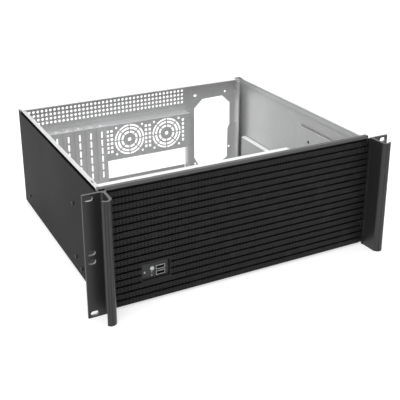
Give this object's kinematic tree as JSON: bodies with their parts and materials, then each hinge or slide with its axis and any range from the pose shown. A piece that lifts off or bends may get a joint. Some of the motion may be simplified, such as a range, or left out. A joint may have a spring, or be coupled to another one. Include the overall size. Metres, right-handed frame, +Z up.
{
  "type": "empty rackmount server case",
  "caption": "Open-topped rackmount server case with ribbed perforated front bezel, hooked ear handles, control recess, fan wall, vented rear panel and covered slots.",
  "frame": {"origin": "middle of the overall box in x and y, at the lower end of the ears", "axes": "+Z up, +X to the right seen from the front, +Y to the rear; the bezel faces -Y"},
  "size_m": [0.4826, 0.4308, 0.177],
  "materials": {
    "coated_steel": "black powder coat outside, bare zinc-plated steel inside",
    "zinc_steel": "zinc-plated sheet steel, satin",
    "cover_steel": "zinc-plated sheet steel, satin",
    "black_paint": "fine-texture black powder coat",
    "black_aluminium": "black anodised aluminium, satin",
    "screw_steel": "zinc-plated steel screws",
    "black_screw": "black oxide steel screws",
    "rivet_steel": "steel rivets",
    "black_plastic": "fine-grain black plastic",
    "button_plastic": "bright metallic plastic",
    "reset_plastic": "bright metallic plastic",
    "lamp_blue": "clear blue lens",
    "lamp_amber": "clear amber lens",
    "socket_steel": "plated socket shell",
    "board_laminate": "green board laminate",
    "brass": "turned brass"
  },
  "bodies": {
    "case": {"chassis_tray": "coated_steel", "rear_panel": "zinc_steel", "rear_insert": "zinc_steel", "slot_cover_1": "cover_steel", "slot_cover_2": "cover_steel", "slot_cover_3": "cover_steel", "slot_cover_4": "cover_steel", "slot_cover_5": "cover_steel", "slot_cover_6": "cover_steel", "slot_cover_7": "cover_steel", "slot_cover_screws": "screw_steel", "front_bulkhead": "black_paint", "fan_wall": "zinc_steel", "fan_wall_screws": "black_screw", "side_screws": "black_screw", "front_bezel": "black_aluminium", "handle_right": "black_aluminium", "handle_left": "black_aluminium", "handle_screws": "screw_steel", "control_plate": "black_plastic", "power_lamp": "lamp_blue", "drive_lamp": "lamp_amber", "usb_socket_upper": "socket_steel", "usb_socket_lower": "socket_steel", "control_board": "board_laminate", "control_screws": "screw_steel", "psu_bracket": "zinc_steel", "psu_bracket_screws": "screw_steel", "wall_plate": "zinc_steel", "board_standoffs": "brass", "rear_rivets": "rivet_steel"},
    "power_button_body": {"power_button": "button_plastic"},
    "reset_button_body": {"reset_button": "reset_plastic"}
  },
  "joints": [
    {"name": "power_button_press", "type": "slide", "parent": "case", "child": "power_button_body", "axis": [0, 1, 0], "range_m": [0, 0.0015], "stiffness_N_per_m": 300},
    {"name": "reset_button_press", "type": "slide", "parent": "case", "child": "reset_button_body", "axis": [0, 1, 0], "range_m": [0, 0.001], "stiffness_N_per_m": 300}
  ]
}
